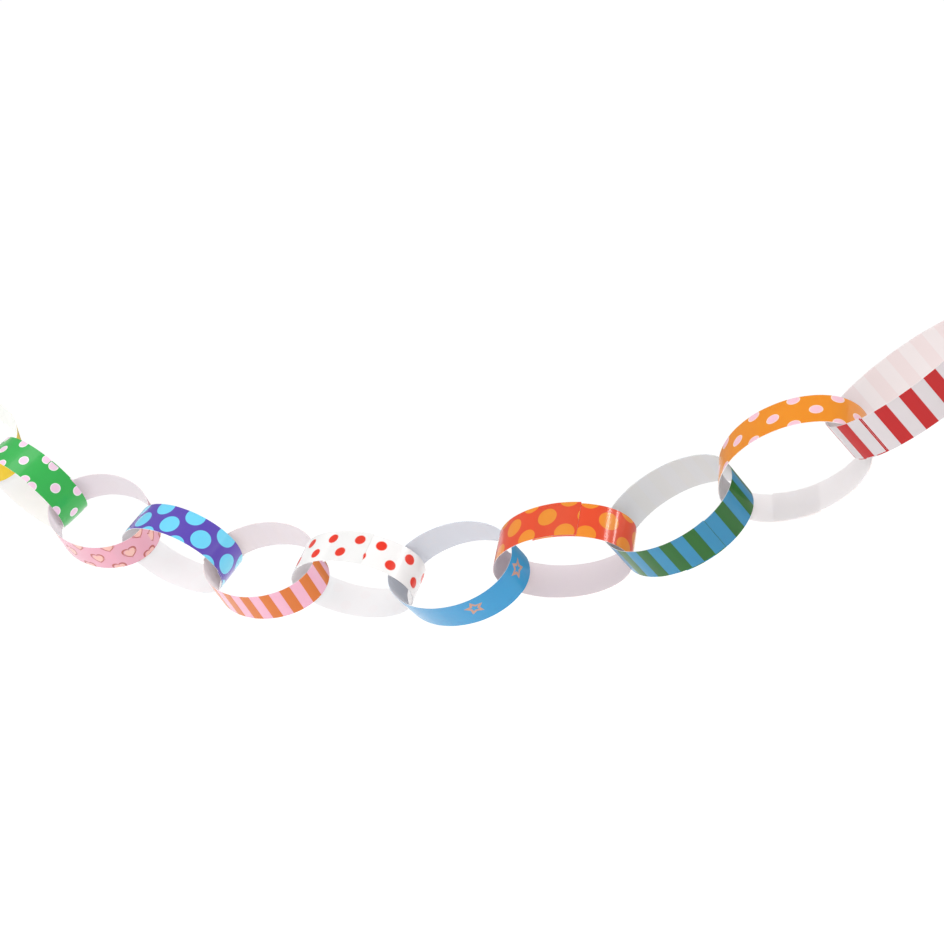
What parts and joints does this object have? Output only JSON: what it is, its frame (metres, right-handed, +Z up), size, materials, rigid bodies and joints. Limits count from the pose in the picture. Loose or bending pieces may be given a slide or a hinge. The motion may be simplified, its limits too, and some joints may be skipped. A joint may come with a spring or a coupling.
{
  "type": "paper chain garland",
  "caption": "Hanging garland of printed paper strips, each glued into an oval link through its neighbour.",
  "frame": {"origin": "inside of the first link's outer end, where a hook holds the garland up", "axes": "+X along the garland from its first link to its last, +Z up, and the garland hangs in the XZ plane"},
  "size_m": [0.6649, 0.0523, 0.15],
  "materials": {
    "yellow_paper": "plain yellow coated paper, white inside",
    "green_dots_paper": "green coated paper with pale pink dots, white inside",
    "hearts_paper": "pink coated paper with peach hearts, white inside",
    "purple_dots_paper": "purple coated paper with light blue dots, white inside",
    "orange_stripes_paper": "orange and pink striped coated paper, white inside",
    "red_dots_paper": "white coated paper with red dots, white inside",
    "stars_paper": "blue coated paper with tan outlined stars, white inside",
    "orange_dots_paper": "red-orange coated paper with yellow-orange dots, white inside",
    "blue_green_stripes_paper": "blue and green striped coated paper, white inside",
    "pink_dots_paper": "orange coated paper with pale pink dots, white inside",
    "red_stripes_paper": "red and white striped coated paper, white inside"
  },
  "bodies": {
    "root": {"yellow_link": "yellow_paper", "green_dots_link": "green_dots_paper", "hearts_link": "hearts_paper", "purple_dots_link": "purple_dots_paper", "orange_stripes_link": "orange_stripes_paper", "red_dots_link": "red_dots_paper", "stars_link": "stars_paper", "orange_dots_link": "orange_dots_paper", "blue_green_stripes_link": "blue_green_stripes_paper", "pink_dots_link": "pink_dots_paper", "red_stripes_link": "red_stripes_paper"}
  },
  "joints": []
}
